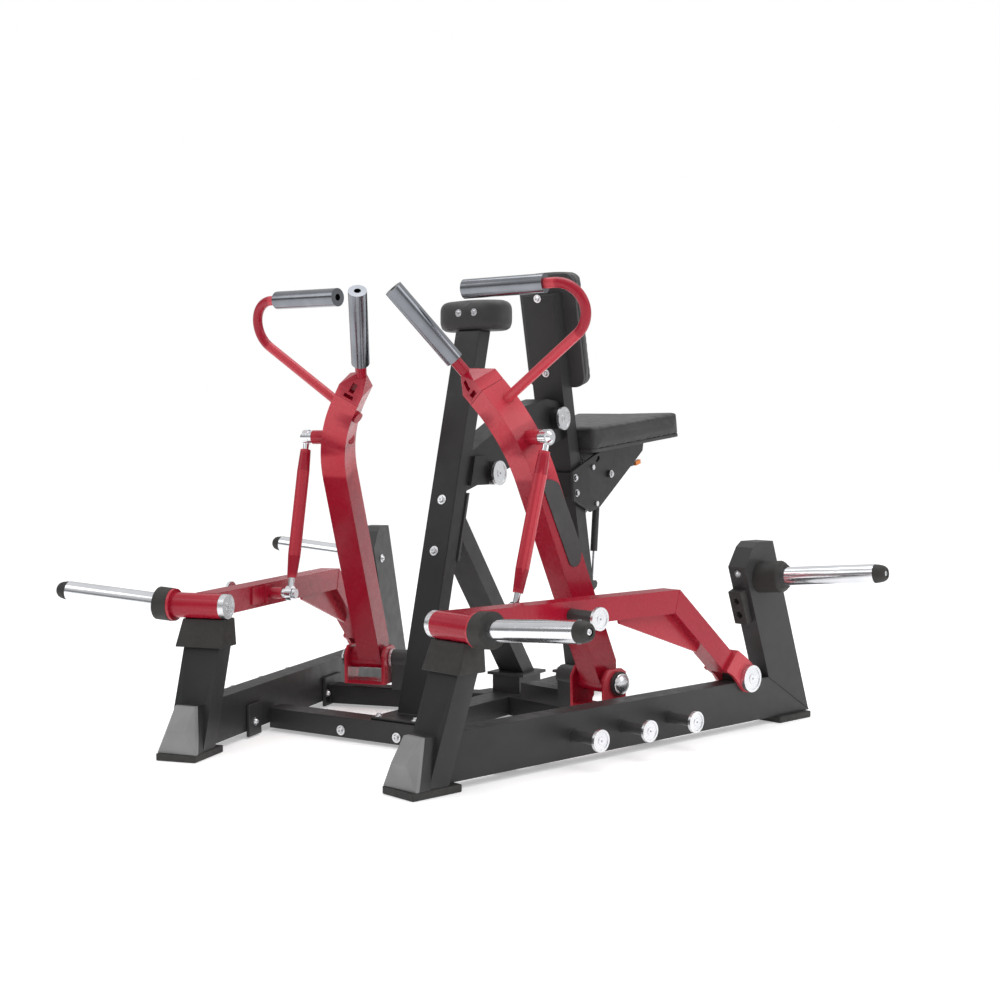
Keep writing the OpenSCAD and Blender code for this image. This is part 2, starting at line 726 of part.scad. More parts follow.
module link_tube(s) color(gloss_red) side(s) difference() {
    union() {
        aim(tube_low, tube_high) cylinder(h = 60, r1 = 13, r2 = link_r);
        bar(tube_low + link_dir * 59, tube_high - link_dir * 59, link_r);
        aim(tube_high - link_dir * 60, tube_high) cylinder(h = 60, r1 = link_r, r2 = 14);
    }
    bar(tube_low - link_dir, tube_low + link_dir * 50, 8);
    bar(tube_high - link_dir * 50, tube_high + link_dir, 8);
}

module link_ends(s) color(bare_steel) side(s) {
    difference() {
        union() {
            pin(link_u - eye_w / 2, link_u + eye_w / 2, link_low[1], link_low[2], eye_r);
            bar(link_low + link_dir * 12, tube_low + link_dir * 48, 8 - run);
        }
        pin(link_u - eye_w, link_u + eye_w, link_low[1], link_low[2], stud_r);
    }
    pin(link_u - eye_w / 2, link_u + eye_w / 2, link_top[1], link_top[2], eye_r);
    pin(boss_end + 1, link_u - eye_w / 2, link_top[1], link_top[2], 18);
    pin(160, boss_end + 2, link_top[1], link_top[2], top_bolt_r);
    translate([link_u + eye_w / 2, link_top[1], link_top[2]]) rotate([0, 90, 0])
        cylinder(h = 9, r1 = 15, r2 = 8);
    bar(link_top - link_dir * 12, tube_high - link_dir * 48, 8 - run);
}

// ---------- bolts ----------
module frame_bolts() color(bare_steel) {
    centre() {
        for (x = [-160, 20, 160]) translate([x, 407, 27]) rotate([90, 0, 0]) bolt(9);
        for (z = [489, 623]) translate([0, front_mast_y + front_mast_lean * z, z])
            rotate([90 - atan(front_mast_lean), 0, 0]) bolt(9);
        for (x = [-25, 25]) translate([x, 754.9, rest_z + 48]) rotate([90, 0, 0]) bolt(6);
        for (s = [-1, 1]) for (y = [435, 585]) translate([58 * s, y, beam_z1 + 8]) bolt(7);
        for (s = [-1, 1]) for (y = [1356, 1458]) translate([60 * s, y, beam_z1 + 8]) bolt(7);
    }
    on_mast() for (z = [1002, 1222]) translate([0, 0, z]) rotate([90, 0, 0]) bolt(8);
    both_sides() {
        for (v = [416, 870, 959]) translate([rail_in - 10, v, 40]) rotate([0, -90, 0]) bolt(7);
        translate([rail_u, rear_v(419), 419]) rotate([90 + post_lean, 0, 0]) bolt(6);
        translate([rail_in, 1308, 402]) rotate([0, -90, 0]) bolt(9);
    }
}

side(1) side_frame();  // right_side_frame
side(-1) side_frame();  // left_side_frame
front_crossbeam();
spine();
arm_beams();
front_mast();
mast_brace();
boom();
rear_mast();
pivot_blocks();
pivot_axles();
foot_pads();
toe_boots();
rubber_stops();
frame_discs();
band_pegs();
frame_bolts();
storage_sleeves();
storage_collars();
storage_caps();
hand_rest();
chest_pad();
seat_rail();
seat_carriage();
seat_cushion();
roller(roller_z[0]);  // upper_roller
roller(roller_z[1]);  // lower_roller
strut_body();
strut_rod();
release_lever();
release_tip();
latch_pin();
arm(1);  // right_arm
arm(-1);  // left_arm
arm_head(1);  // right_arm_head
arm_head(-1);  // left_arm_head
main_grip(1);  // right_main_grip
main_grip(-1);  // left_main_grip
side_handle(1);  // right_side_handle
side_handle(-1);  // left_side_handle
side_grip(1);  // right_side_grip
side_grip(-1);  // left_side_grip
badge(1);  // right_badge
badge(-1);  // left_badge
lever(1);  // right_lever
lever(-1);  // left_lever
lever_fittings(1);  // right_lever_fittings
lever_fittings(-1);  // left_lever_fittings
lever_peg(1);  // right_lever_peg
lever_peg(-1);  // left_lever_peg
horn_sleeve(1);  // right_horn_sleeve
horn_sleeve(-1);  // left_horn_sleeve
horn_collar(1);  // right_horn_collar
horn_collar(-1);  // left_horn_collar
horn_cap(1);  // right_horn_cap
horn_cap(-1);  // left_horn_cap
link_tube(1);  // right_link_tube
link_tube(-1);  // left_link_tube
link_ends(1);  // right_link_ends
link_ends(-1);  // left_link_ends
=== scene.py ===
"""Looks of a plate-loaded, chest-supported rowing machine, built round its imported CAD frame."""
import json
import math

import bmesh
import bpy
from mathutils import Matrix, Vector


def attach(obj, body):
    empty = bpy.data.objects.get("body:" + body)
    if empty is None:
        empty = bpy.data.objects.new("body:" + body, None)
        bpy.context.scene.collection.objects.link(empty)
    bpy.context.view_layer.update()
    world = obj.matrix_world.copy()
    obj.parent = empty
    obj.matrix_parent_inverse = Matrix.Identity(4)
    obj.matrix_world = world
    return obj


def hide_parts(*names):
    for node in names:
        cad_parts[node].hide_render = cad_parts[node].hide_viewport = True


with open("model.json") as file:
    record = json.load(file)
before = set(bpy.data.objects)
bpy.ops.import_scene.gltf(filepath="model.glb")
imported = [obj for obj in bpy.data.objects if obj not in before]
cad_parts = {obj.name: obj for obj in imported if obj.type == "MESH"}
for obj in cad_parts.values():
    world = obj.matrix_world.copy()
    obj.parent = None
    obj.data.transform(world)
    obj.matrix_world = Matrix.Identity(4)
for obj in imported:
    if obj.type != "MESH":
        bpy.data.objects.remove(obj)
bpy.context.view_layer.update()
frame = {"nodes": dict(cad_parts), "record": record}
NODES = frame["nodes"]

# ---------- driving dimensions, in metres and degrees ----------
SPLAY = 14.7            # angle of each side rail from the centre line
MAST_LEAN = 12.7        # lean of the rear mast, towards the front
SEAT_SLOPE = 7.3        # slope of the seat
POST_LEAN = 19.3        # lean of the side posts
Y_MID = 0.8305          # from the front foot line to the middle of the machine
MAST_FOOT = 1.394       # place of the rear mast's foot behind the front foot line
RAIL_U = 0.328          # middle of the side rail from the side frame's axis
RAIL_W = 0.058          # width of the rail
RAIL_TOP = 0.130        # top of the rail
PAD_H = 0.018           # underside of the rail
RAIL_OUT = RAIL_U + RAIL_W / 2
RAIL_IN = RAIL_U - RAIL_W / 2
FRONT_FOOT = 0.112      # front edge of the front post, at the floor
FRONT_DEPTH = 0.060     # depth of the front post
REAR_FOOT = 1.399       # front edge of the rear post, at the floor
REAR_DEPTH = 0.145      # depth of the rear post
PEG_R = 0.014           # radius of the band pegs
LEVER_MID = 0.367       # height of the middle of the lever's long tube
LEVER_H = 0.060         # height of that tube
BEND_V = 0.980          # place of the lever's bend along the rail
BEND_TUCK = 0.018       # how far the bend's lower corner lies in front of its upper one
GUSSET_V = 0.778        # front end of the lever's gusset plate
GUSSET_T = 0.008        # thickness of that plate
PEG_V = (0.588, 0.761, 0.935)           # places of the band pegs along the rail
PEG_Z = 0.073                           # height of the band pegs
SLEEVE_TILT = 4.8                       # upward tilt of the plate sleeves
HORN_ROOT = (0.4235, 0.231, 0.364)      # where a weight horn leaves its lever
HORN_L = 0.306                          # from there to its end cap
STORAGE_ROOT = (0.357, 1.320, 0.408)    # where a storage horn leaves its post
STORAGE_L = 0.330                       # from there to its end cap
STORAGE_YAW = 9.4                       # turn of the storage horn towards the rear
CAP_RECESS = 0.025                      # from the start of an end cap to its screw's seat
PLATE_OUT = 0.064                       # outer face of the seat carriage's side plates
CARRIAGE_NUTS = ((-0.005, 0.686), (-0.0065, 0.640))     # their places in the rear mast's frame
RELEASE_BOLT = (0.199, 0.648)           # place of the release lever's bolt in that frame
RELEASE_STUD = 0.008                    # how far that bolt's boss stands out
SEAT_PLACE = (1.298, 0.742)             # front lower edge of the seat, at its board
REST_PLACE = (0.802, 1.078)             # middle of the hand rest's underside, at its board
CHEST_PLACE = (0.056, 1.116)            # middle of the chest pad's back, in the mast's frame


# ---------- places ----------
def side_matrix(s):
    """Side frame to row frame: u outwards, v to the rear, z up. s is 1 on the right, -1 on the left."""
    turn = Matrix.Translation((0, -Y_MID, 0)) @ Matrix.Rotation(-math.radians(SPLAY), 4, "Z")
    return Matrix.Diagonal((s, 1, 1, 1)) @ turn


def mast_matrix():
    """Rear mast's frame to row frame: y to the rear from its front face, z along the mast."""
    return Matrix.Translation((0, MAST_FOOT - Y_MID, 0)) @ Matrix.Rotation(math.radians(MAST_LEAN), 4, "X")


def front_v(z):
    return FRONT_FOOT + z * math.tan(math.radians(POST_LEAN))


def rear_v(z):
    return REAR_FOOT - z * math.tan(math.radians(POST_LEAN))


SIDES = (("right", 1), ("left", -1))


# ---------- materials ----------
def new_material(name):
    mat = bpy.data.materials.new(name)
    mat.use_nodes = True
    tree = mat.node_tree
    return mat, tree, tree.nodes["Principled BSDF"]


# Numbers of a Mix node's sockets, as several of them share a name
MIX_FACTOR, MIX_LOW, MIX_HIGH, MIX_DARK, MIX_LIGHT = 0, 2, 3, 6, 7
MIX_VALUE, MIX_COLOUR = 0, 2


def link(tree, a, b):
    tree.links.new(a, b)


def noise(tree, scale, detail=3.0):
    """Noise over the object's own coordinates, so that it stays put when the piece moves."""
    coords = tree.nodes.new("ShaderNodeTexCoord")
    tex = tree.nodes.new("ShaderNodeTexNoise")
    tex.inputs["Scale"].default_value = scale
    tex.inputs["Detail"].default_value = detail
    link(tree, coords.outputs["Object"], tex.inputs["Vector"])
    return tex.outputs["Fac"]


def remap(tree, value, low, high):
    """Middle range of a noise, stretched to low and high."""
    node = tree.nodes.new("ShaderNodeMapRange")
    node.inputs["From Min"].default_value = 0.3
    node.inputs["From Max"].default_value = 0.7
    node.inputs["To Min"].default_value = low
    node.inputs["To Max"].default_value = high
    link(tree, value, node.inputs["Value"])
    return node.outputs["Result"]


def shades(tree, value, dark, light):
    """Colour between dark and light; dark may be a colour's socket."""
    node = tree.nodes.new("ShaderNodeMix")
    node.data_type = "RGBA"
    if isinstance(dark, tuple):
        node.inputs[MIX_DARK].default_value = (*dark, 1)
    else:
        link(tree, dark, node.inputs[MIX_DARK])
    node.inputs[MIX_LIGHT].default_value = (*light, 1)
    link(tree, value, node.inputs[MIX_FACTOR])
    return node.outputs[MIX_COLOUR]


def mottled(tree, scale, dark, light):
    """Slow drift between two near shades."""
    return shades(tree, remap(tree, noise(tree, scale), 0, 1), dark, light)


def edges(tree):
    """1 on sharp outer edges, 0 elsewhere."""
    geo = tree.nodes.new("ShaderNodeNewGeometry")
    node = tree.nodes.new("ShaderNodeMapRange")
    node.inputs["From Min"].default_value = 0.52
    node.inputs["From Max"].default_value = 0.62
    link(tree, geo.outputs["Pointiness"], node.inputs["Value"])
    return node.outputs["Result"]


def bump(tree, shader, heights, bevel=0.0):
    """Bumps made of (height, strength, distance), on a rounded-edge normal if bevel is its radius."""
    normal = None
    if bevel:
        node = tree.nodes.new("ShaderNodeBevel")
        node.samples = 4
        node.inputs["Radius"].default_value = bevel
        normal = node.outputs["Normal"]
    for height, strength, distance in heights:
        node = tree.nodes.new("ShaderNodeBump")
        node.inputs["Strength"].default_value = strength
        node.inputs["Distance"].default_value = distance
        link(tree, height, node.inputs["Height"])
        if normal:
            link(tree, normal, node.inputs["Normal"])
        normal = node.outputs["Normal"]
    link(tree, normal, shader.inputs["Normal"])


def coated(name, dark, light, rough, coat, worn, peel, grain=900.0, bevel=0.0012):
    """Powder coat or paint with orange peel, uneven gloss and a painted highlight: lighter colour on sharp
    outer edges.
    """
    mat, tree, bsdf = new_material(name)
    # Painted highlight: sharp outer edges take the lighter edge colour in place of real light.
    colour = shades(tree, edges(tree), mottled(tree, 6.0, dark, light), worn)
    link(tree, colour, bsdf.inputs["Base Color"])
    link(tree, remap(tree, noise(tree, 35.0), rough[0], rough[1]), bsdf.inputs["Roughness"])
    bsdf.inputs["Specular IOR Level"].default_value = 0.3
    bsdf.inputs["Coat Weight"].default_value = coat
    bsdf.inputs["Coat Roughness"].default_value = 0.08
    bump(tree, bsdf, [(noise(tree, grain, 2.0), peel, 0.0002)], bevel=bevel)
    return mat


def metal(name, dark, light, rough, scale):
    """Polished or satin metal of a round piece, without marks."""
    mat, tree, bsdf = new_material(name)
    bsdf.inputs["Metallic"].default_value = 1.0
    link(tree, mottled(tree, 14.0, dark, light), bsdf.inputs["Base Color"])
    link(tree, remap(tree, noise(tree, scale, 4.0), rough[0], rough[1]), bsdf.inputs["Roughness"])
    return mat


def turned_metal(name, dark, light, rough):
    """Bare metal with fine machining marks."""
    mat, tree, bsdf = new_material(name)
    bsdf.inputs["Metallic"].default_value = 1.0
    marks = noise(tree, 300.0, 4.0)
    link(tree, mottled(tree, 14.0, dark, light), bsdf.inputs["Base Color"])
    link(tree, remap(tree, marks, rough[0], rough[1]), bsdf.inputs["Roughness"])
    bump(tree, bsdf, [(marks, 0.05, 0.0001)], bevel=0.0008)
    return mat


def moulded(name, dark, light, rough):
    """Rubber or plastic with a fine moulded grain."""
    mat, tree, bsdf = new_material(name)
    link(tree, mottled(tree, 9.0, dark, light), bsdf.inputs["Base Color"])
    link(tree, remap(tree, noise(tree, 60.0), rough[0], rough[1]), bsdf.inputs["Roughness"])
    bump(tree, bsdf, [(noise(tree, 700.0), 0.25, 0.0003)], bevel=0.0015)
    return mat


def upholstery(name, dark, light):
    """Vinyl with pebbled leather grain, soft creases and a low sheen."""
    mat, tree, bsdf = new_material(name)
    coords = tree.nodes.new("ShaderNodeTexCoord")
    cells = tree.nodes.new("ShaderNodeTexVoronoi")
    cells.feature = "DISTANCE_TO_EDGE"
    cells.inputs["Scale"].default_value = 420.0
    link(tree, coords.outputs["Object"], cells.inputs["Vector"])
    pebble = tree.nodes.new("ShaderNodeMapRange")
    pebble.inputs["From Max"].default_value = 0.25
    link(tree, cells.outputs["Distance"], pebble.inputs["Value"])
    link(tree, mottled(tree, 7.0, dark, light), bsdf.inputs["Base Color"])
    link(tree, remap(tree, noise(tree, 45.0), 0.42, 0.58), bsdf.inputs["Roughness"])
    bsdf.inputs["Sheen Weight"].default_value = 0.15
    bsdf.inputs["Specular IOR Level"].default_value = 0.45
    bump(tree, bsdf, [(noise(tree, 18.0, 2.0), 0.10, 0.004), (pebble.outputs["Result"], 0.35, 0.0003)])
    return mat


MATERIALS = {
    # The edge colour of each coat is a painted highlight on its sharp outer edges.
    "frame_black": coated("frame_black_powder_coat", (0.012, 0.012, 0.013), (0.020, 0.020, 0.021),
                          (0.34, 0.46), coat=0.0, worn=(0.05, 0.05, 0.05), peel=0.25, grain=700.0),
    "red": coated("gloss_red_paint", (0.325, 0.005, 0.021), (0.36, 0.006, 0.024),
                  (0.22, 0.32), coat=0.12, worn=(0.55, 0.05, 0.07), peel=0.03, bevel=0.0014),
    "rubber": moulded("rubber", (0.018, 0.017, 0.016), (0.030, 0.028, 0.026), (0.55, 0.72)),
    "grey_plastic": moulded("grey_plastic", (0.19, 0.19, 0.19), (0.25, 0.25, 0.25), (0.40, 0.52)),
    "black_plastic": moulded("black_plastic", (0.035, 0.034, 0.036), (0.055, 0.053, 0.055), (0.45, 0.6)),
    "orange_plastic": moulded("orange_plastic", (0.80, 0.20, 0.01), (0.95, 0.28, 0.02), (0.28, 0.38)),
    "bright_steel": turned_metal("brushed_steel", (0.66, 0.67, 0.69), (0.80, 0.81, 0.83), (0.22, 0.36)),
    "chrome": metal("chrome_plate", (0.74, 0.76, 0.79), (0.84, 0.85, 0.88), (0.10, 0.17), scale=40.0),
    "grip": metal("grip_sleeve", (0.19, 0.20, 0.22), (0.25, 0.26, 0.285), (0.14, 0.19), scale=8.0),
    "vinyl": upholstery("black_vinyl", (0.018, 0.018, 0.019), (0.034, 0.034, 0.035)),
}


def dress(obj, slot_name):
    obj.data.materials.clear()
    obj.data.materials.append(MATERIALS[slot_name])


# ---------- CAD nodes: materials and softened edges ----------
BEVELS = {
    "front_crossbeam": 0.0025, "spine": 0.0025, "arm_beams": 0.0025, "front_mast": 0.0035,
    "rubber_stops": 0.0025, "foot_pads": 0.0025, "seat_carriage": 0.0010, "badge": 0.0010,
}
MERGE = 0.00002         # points nearer than this are one


def soften(obj, width):
    """Real rounded edges on a CAD node, as modifiers: its own mesh stays as it is."""
    weld = obj.modifiers.new("weld", "WELD")
    weld.merge_threshold = MERGE
    flat = obj.modifiers.new("flat", "DECIMATE")
    flat.decimate_type = "DISSOLVE"
    flat.angle_limit = math.radians(0.3)
    bevel = obj.modifiers.new("bevel", "BEVEL")
    bevel.width = width
    bevel.segments = 2
    bevel.limit_method = "ANGLE"
    bevel.angle_limit = math.radians(38)
    bevel.use_clamp_overlap = False
    bevel.miter_outer = "MITER_ARC"
    bevel.loop_slide = False
    bevel.harden_normals = True


for item in frame["record"]["subparts"]:
    node = NODES[item["node"]]
    dress(node, item["material_slot"])
    kind = item["node"].replace("right_", "").replace("left_", "")
    if kind in BEVELS:
        soften(node, BEVELS[kind])


# ---------- mesh helpers ----------
ROUND = 48              # points round a turned piece or a peg
BEAD_SIDES = 8          # points round a weld bead or a welt


def add_piece(name, mesh, slot_name, body):
    obj = bpy.data.objects.new(name, mesh)
    bpy.context.scene.collection.objects.link(obj)
    dress(obj, slot_name)
    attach(obj, body)
    return obj


def shade(mesh):
    for face in mesh.polygons:
        face.use_smooth = True


def turns(count):
    """Angles of a full turn in equal steps."""
    return [2 * math.pi * k / count for k in range(count)]


def bridge(bm, low, high):
    """Faces between two rings of as many points."""
    for k in range(len(low)):
        after = (k + 1) % len(low)
        bm.faces.new((low[k], low[after], high[after], high[k]))


def mesh_of(bm, name):
    bmesh.ops.recalc_face_normals(bm, faces=bm.faces)
    mesh = bpy.data.meshes.new(name)
    bm.to_mesh(mesh)
    bm.free()
    return mesh


def sweep(points, radius, closed=False):
    """Thin tube along points; radius is a number or a function of the ring's number."""
    bm = bmesh.new()
    rings = []
    count = len(points)
    side = None
    for i, p in enumerate(points):
        after = points[(i + 1) % count] if closed or i < count - 1 else p
        before = points[i - 1] if closed or i > 0 else p
        along = (after - before).normalized()
        if side is None:
            side = along.orthogonal().normalized()
        side = (side - along * side.dot(along)).normalized()
        other = along.cross(side)
        r = radius(i) if callable(radius) else radius
        rings.append([bm.verts.new(p + (side * math.cos(a) + other * math.sin(a)) * r)
                      for a in turns(BEAD_SIDES)])
    for low, high in zip(rings, rings[1:]):
        bridge(bm, low, high)
    if closed:
        bridge(bm, rings[-1], rings[0])
    else:
        bm.faces.new(list(reversed(rings[0])))
        bm.faces.new(rings[-1])
    mesh = mesh_of(bm, "sweep")
    shade(mesh)
    return mesh


def bead(name, corners, body, slot_name="frame_black", radius=0.0026, closed=False):
    """Weld bead with overlapping ripples along straight runs between corners."""
    step = radius * 0.75
    points = []
    ends = corners[1:] + corners[:1] if closed else corners[1:]
    for a, b in zip(corners, ends):
        n = max(2, round((b - a).length / step))
        points += [a.lerp(b, i / n) for i in range(n)]
    if not closed:
        points.append(corners[-1])
    ripple = 3
    tube = sweep(points, lambda i: radius * (0.86 + 0.14 * (i % ripple)), closed)
    return add_piece(name, tube, slot_name, body)


def ring(centre, axis, radius):
    """Points of a circle round an axis."""
    side = axis.orthogonal().normalized()
    other = axis.normalized().cross(side)
    return [centre + (side * math.cos(a) + other * math.sin(a)) * radius for a in turns(ROUND)]


def hexagon(apothem):
    """Radius of a hexagon at an angle, for lathe()."""
    sixth = math.pi / 3
    return lambda a: apothem / math.cos((a % sixth) - sixth / 2)


def lathe(name, centre, axis, rings, body):
    """Turned steel piece: rings are (radius or a function of the angle, height along the axis)."""
    turn = axis.normalized().to_track_quat("Z", "Y").to_matrix()
    bm = bmesh.new()
    loops = []
    for radius, height in rings:
        loop = []
        for a in turns(ROUND):
            r = radius(a) if callable(radius) else radius
            loop.append(bm.verts.new(centre + turn @ Vector((r * math.cos(a), r * math.sin(a), height))))
        loops.append(loop)
    for low, high in zip(loops, loops[1:]):
        bridge(bm, low, high)
    bm.faces.new(list(reversed(loops[0])))
    bm.faces.new(loops[-1])
    return add_piece(name, mesh_of(bm, name), "bright_steel", body)


def socket_screw(name, centre, axis, r, height, body):
    """Button-head screw with a hex socket."""
    socket = hexagon(r * 0.42)
    head = [(r, 0), (r, height * 0.4), (r * 0.9, height * 0.8), (r * 0.7, height)]
    return lathe(name, centre, axis, head + [(socket, height), (socket, height * 0.35)], body)


def hex_nut(name, centre, axis, r, body):
    """Hex nut on a washer, with the bolt's end showing."""
    flat = hexagon(r * 0.80)
    washer = 0.0015
    height = 0.006
    nut = [(r * 1.3, 0), (r * 1.3, washer), (flat, washer), (flat, height)]
    bolt_end = [(r * 0.5, height), (r * 0.5, height + 0.0015), (r * 0.4, height + 0.002)]
    return lathe(name, centre, axis, nut + bolt_end, body)


# ---------- weld beads ----------
def side_welds(label, s):
    to_row = side_matrix(s)

    def place(*points):
        return [to_row @ Vector(p) for p in points]

    foot = PAD_H + 0.002
    foot_v = front_v(PAD_H) + FRONT_DEPTH
    top_v = front_v(RAIL_TOP) + FRONT_DEPTH
    bead(f"{label}_front_weld", place(
        (RAIL_OUT, foot_v, foot), (RAIL_OUT, top_v, RAIL_TOP),
        (RAIL_IN, top_v, RAIL_TOP), (RAIL_IN, foot_v, foot)), "frame_body")
    for tag, u in (("outer", RAIL_OUT), ("inner", RAIL_IN)):
        bead(f"{label}_{tag}_mitre_weld", place(
            (u, rear_v(RAIL_TOP), RAIL_TOP), (u, rear_v(PAD_H) + REAR_DEPTH, foot)),
            "frame_body", radius=0.0014)
    for i, v in enumerate(PEG_V):
        centre = to_row @ Vector((RAIL_OUT, v, PEG_Z))
        axis = to_row.to_3x3() @ Vector((1, 0, 0))
        bead(f"{label}_peg_weld_{i + 1}", ring(centre, axis, PEG_R + 0.001), "frame_body", radius=0.002,
             closed=True)
    low = LEVER_MID - LEVER_H / 2
    lever_body = f"{label}_lever_body"
    for tag, u in (("outer", RAIL_U + GUSSET_T / 2), ("inner", RAIL_U - GUSSET_T / 2)):
        bead(f"{label}_gusset_{tag}_weld", place((u, GUSSET_V, low), (u, BEND_V - BEND_TUCK, low)),
             lever_body, "red", radius=0.0022)
    for tag, u in (("outer", RAIL_OUT), ("inner", RAIL_IN)):
        bead(f"{label}_lever_{tag}_mitre", place(
            (u, BEND_V, LEVER_MID + LEVER_H / 2), (u, BEND_V - BEND_TUCK, low)),
            lever_body, "red", radius=0.0012)


for label, s in SIDES:
    side_welds(label, s)


# ---------- screws and nuts ----------
def cap_screw(name, s, root, yaw, length, body):
    """Screw in the end cap of a plate sleeve."""
    yaw = math.radians(yaw)
    tilt = math.radians(SLEEVE_TILT)
    along = Vector((math.cos(yaw) * math.cos(tilt), math.sin(yaw) * math.cos(tilt), math.sin(tilt)))
    to_row = side_matrix(s)
    centre = to_row @ (Vector(root) + along * (length + CAP_RECESS))
    socket_screw(name, centre, to_row.to_3x3() @ along, 0.0075, 0.004, body)


for label, s in SIDES:
    cap_screw(f"{label}_horn_screw", s, HORN_ROOT, 0, HORN_L, f"{label}_lever_body")
    cap_screw(f"{label}_storage_screw", s, STORAGE_ROOT, STORAGE_YAW, STORAGE_L, "frame_body")
    for i, (y, z) in enumerate(CARRIAGE_NUTS):
        hex_nut(f"{label}_carriage_nut_{i + 1}", mast_matrix() @ Vector((s * PLATE_OUT, y, z)),
                Vector((s, 0, 0)), 0.0085, "seat_body")
hex_nut("release_nut", mast_matrix() @ Vector((PLATE_OUT + RELEASE_STUD, *RELEASE_BOLT)),
        Vector((1, 0, 0)), 0.009, "release_body")


# ---------- upholstery ----------
def applied(obj):
    """Mesh of an object with its modifiers applied."""
    graph = bpy.context.evaluated_depsgraph_get()
    return bpy.data.meshes.new_from_object(obj.evaluated_get(graph))


def cut_solid(mesh, point, normal, keep_above):
    """Closed part of a mesh above or below a plane."""
    bm = bmesh.new()
    bm.from_mesh(mesh)
    bmesh.ops.remove_doubles(bm, verts=bm.verts, dist=MERGE)
    geom = bm.verts[:] + bm.edges[:] + bm.faces[:]
    bmesh.ops.bisect_plane(bm, geom=geom, plane_co=point, plane_no=normal,
                           clear_inner=keep_above, clear_outer=not keep_above)
    border = [e for e in bm.edges if e.is_boundary]
    bmesh.ops.holes_fill(bm, edges=border)
    return mesh_of(bm, "part")


def slice_loop(mesh, point, normal):
    """Ordered points where a plane cuts a closed mesh."""
    bm = bmesh.new()
    bm.from_mesh(mesh)
    geom = bm.verts[:] + bm.edges[:] + bm.faces[:]
    bmesh.ops.bisect_plane(bm, geom=geom, plane_co=point, plane_no=normal,
                           clear_inner=True, clear_outer=True)
    bm.verts.ensure_lookup_table()
    start = max((v for v in bm.verts if v.link_edges), key=lambda v: v.co.x)
    loop = [start]
    came = None
    while True:
        nexts = [e for e in loop[-1].link_edges if e is not came]
        if not nexts:
            break
        came = nexts[0]
        vert = came.other_vert(loop[-1])
        if vert is start:
            break
        loop.append(vert)
    points = [v.co.copy() for v in loop]
    bm.free()
    return points


def even(points, step):
    """Closed loop respaced to a step, then smoothed a little."""
    total = [0.0]
    for a, b in zip(points, points[1:] + points[:1]):
        total.append(total[-1] + (b - a).length)
    count = max(12, round(total[-1] / step))
    out = []
    k = 0
    ring_points = points + points[:1]
    for i in range(count):
        want = total[-1] * i / count
        while total[k + 1] < want:
            k += 1
        span = max(total[k + 1] - total[k], 1e-9)
        out.append(ring_points[k].lerp(ring_points[k + 1], (want - total[k]) / span))
    for _ in range(2):
        out = [(out[i - 1] + out[i] * 2 + out[(i + 1) % count]) / 4 for i in range(count)]
    return out


FRAMES = 20             # length of the cloth simulation
SEAM_R = 0.0016         # radius of a cushion's welt
SEAM_STEP = 0.004       # distance between the points of a welt


def swell(obj, back, pressure, cap):
    """Cloth simulation with pressure. The points in back are held, and no point moves further than cap."""
    rest = [v.co.copy() for v in obj.data.vertices]
    held = obj.vertex_groups.new(name="held")
    held.add(back, 1.0, "REPLACE")
    cloth = obj.modifiers.new("cloth", "CLOTH")
    cloth.settings.quality = 5
    cloth.settings.mass = 0.3
    cloth.settings.tension_stiffness = 15
    cloth.settings.compression_stiffness = 15
    cloth.settings.bending_stiffness = 2
    cloth.settings.use_pressure = True
    cloth.settings.uniform_pressure_force = pressure
    cloth.settings.vertex_group_mass = "held"
    cloth.settings.effector_weights.gravity = 0
    cloth.point_cache.frame_end = FRAMES
    for number in range(1, FRAMES + 1):
        bpy.context.scene.frame_set(number)
    swollen = applied(obj)
    obj.modifiers.clear()
    for v, home in zip(swollen.vertices, rest):
        move = v.co - home
        if move.length > cap:
            v.co = home + move.normalized() * cap
    obj.data = swollen
    bpy.context.scene.frame_set(1)


def inflate(mesh, point, normal, voxel, rounding, pressure, cap):
    """Swells a foam block; its flat back stays on its board."""
    obj = bpy.data.objects.new("foam", mesh)
    bpy.context.scene.collection.objects.link(obj)
    grid = obj.modifiers.new("grid", "REMESH")
    grid.mode = "VOXEL"
    grid.voxel_size = voxel
    soft = obj.modifiers.new("soft", "SMOOTH")
    soft.iterations = rounding
    soft.factor = 0.5
    start = applied(obj)
    obj.modifiers.clear()
    obj.data = start
    # The voxels leave the back uneven, so it is laid flat again
    for v in start.vertices:
        gap = (v.co - point).dot(normal)
        if gap < voxel * 0.9:
            v.co -= normal * gap
    back = [v.index for v in start.vertices if (v.co - point).dot(normal) < voxel * 1.2]
    swell(obj, back, pressure, cap)
    relax = obj.modifiers.new("relax", "SMOOTH")
    relax.iterations = 2
    fine = obj.modifiers.new("fine", "SUBSURF")
    fine.levels = 1
    out = applied(obj)
    bpy.data.objects.remove(obj)
    shade(out)
    return out


def pad(node, body, matrix, axis, board, voxel, rounding, pressure, cap, seams=()):
    """Cushion on a board. matrix places a frame on the board's back, and axis is the way it faces there.

    board is the board's thickness, and seams are the heights of the cushion's welts over the board's back.
    """
    normal = (matrix.to_3x3() @ Vector(axis)).normalized()
    base = matrix.translation
    split = base + normal * board
    foam = cut_solid(NODES[node].data, split, normal, keep_above=True)
    cover = inflate(foam, split, normal, voxel, rounding, pressure, cap)
    piece = add_piece(f"{node}_upholstery", cover, "vinyl", body)
    wood = cut_solid(NODES[node].data, split, normal, keep_above=False)
    plate = add_piece(f"{node}_board", wood, "black_plastic", body)
    edge = plate.modifiers.new("edge", "BEVEL")
    edge.width = 0.0015
    edge.segments = 2
    edge.limit_method = "ANGLE"
    edge.use_clamp_overlap = False
    for i, height in enumerate(seams):
        loop = even(slice_loop(piece.data, base + normal * height, normal), SEAM_STEP)
        add_piece(f"{node}_seam_{i + 1}", sweep(loop, SEAM_R, closed=True), "vinyl", body)
    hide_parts(node)


